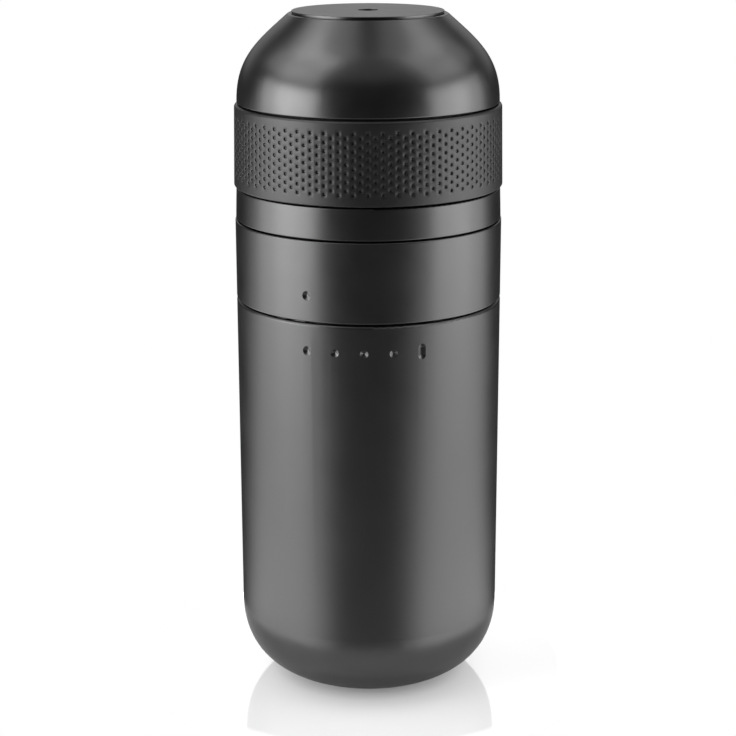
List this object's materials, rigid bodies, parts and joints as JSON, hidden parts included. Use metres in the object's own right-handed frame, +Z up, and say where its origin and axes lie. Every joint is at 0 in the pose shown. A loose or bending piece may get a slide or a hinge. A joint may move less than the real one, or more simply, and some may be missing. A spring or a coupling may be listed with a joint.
{
  "type": "handheld manual espresso maker",
  "caption": "Capsule-shaped handheld espresso press: double-walled mug, locking collar, grip ring that screws a piston down, domed cap.",
  "frame": {"origin": "centre of the foot, on the surface that the maker stands on", "axes": "+Z up the common axis of all turned pieces; the index marks face -Y"},
  "size_m": [0.0722, 0.0722, 0.1857],
  "materials": {
    "mug_enamel": "graphite lacquer with metal flake, baked",
    "steel": "brushed stainless steel",
    "black_aluminium": "blasted, black anodised",
    "grip_aluminium": "dimpled, blasted, black anodised",
    "black_polymer": "moulded glass-filled nylon",
    "bearing_polymer": "natural acetal",
    "bare_aluminium": "clear anodised, screw-cut",
    "silicone": "dark grey silicone",
    "pale_silicone": "translucent food-grade silicone"
  },
  "bodies": {
    "mug": {"mug_shell": "mug_enamel", "mug_liner": "steel", "mug_foot": "silicone", "bayonet_ring": "steel"},
    "press_unit": {"press_head": "black_polymer", "mouth_gasket": "silicone", "bearing_band": "black_aluminium", "carrier_screws": "steel", "thrust_washer": "bearing_polymer", "lower_washer": "bearing_polymer", "guide_plate": "black_polymer", "brew_cylinder": "black_polymer", "cylinder_seal": "silicone", "shower_screen": "steel", "group_gasket": "silicone"},
    "collar": {"lock_collar": "black_aluminium"},
    "drive_ring": {"drive_nut": "bearing_polymer", "ring_hub": "black_polymer", "hub_lock_ring": "bare_aluminium", "grip_sleeve": "grip_aluminium", "cap_seal": "silicone"},
    "piston": {"press_stem": "bare_aluminium", "piston_head": "black_polymer", "piston_seals": "pale_silicone", "inlet_valve": "pale_silicone"},
    "cap": {"cap_shell": "black_aluminium", "cap_liner": "black_polymer"},
    "holder": {"filter_holder": "black_polymer", "filter_basket": "steel", "spout_nozzle": "black_polymer", "valve_spring": "steel"},
    "outlet_valve": {"valve_poppet": "pale_silicone"}
  },
  "joints": [
    {"name": "head_lift", "type": "slide", "parent": "mug", "child": "press_unit", "axis": [0, 0, 1], "range_m": [0, 0.09]},
    {"name": "collar_turn", "type": "hinge", "parent": "press_unit", "child": "collar", "pos_m": [0, 0, 0.12], "axis": [0, 0, 1], "range_deg": [0, 49]},
    {"name": "ring_turn", "type": "hinge", "parent": "press_unit", "child": "drive_ring", "pos_m": [0, 0, 0.15], "axis": [0, 0, 1], "range_deg": [-2160, 0]},
    {"name": "piston_travel", "type": "slide", "parent": "press_unit", "child": "piston", "axis": [0, 0, 1], "range_m": [-0.036, 0]},
    {"name": "cap_lift", "type": "slide", "parent": "drive_ring", "child": "cap", "axis": [0, 0, 1], "range_m": [0, 0.03]},
    {"name": "holder_twist", "type": "hinge", "parent": "press_unit", "child": "holder", "pos_m": [0, 0, 0.07], "axis": [0, 0, 1], "range_deg": [0, 60]},
    {"name": "outlet_open", "type": "slide", "parent": "holder", "child": "outlet_valve", "axis": [0, 0, -1], "range_m": [0, 0.0008], "stiffness_N_per_m": 500, "springref_m": -0.0015, "deforming": ["valve_spring"]}
  ],
  "couplings": [
    {"joint": "piston_travel", "follows": "ring_turn", "m_per_rad": 0.0009549}
  ]
}
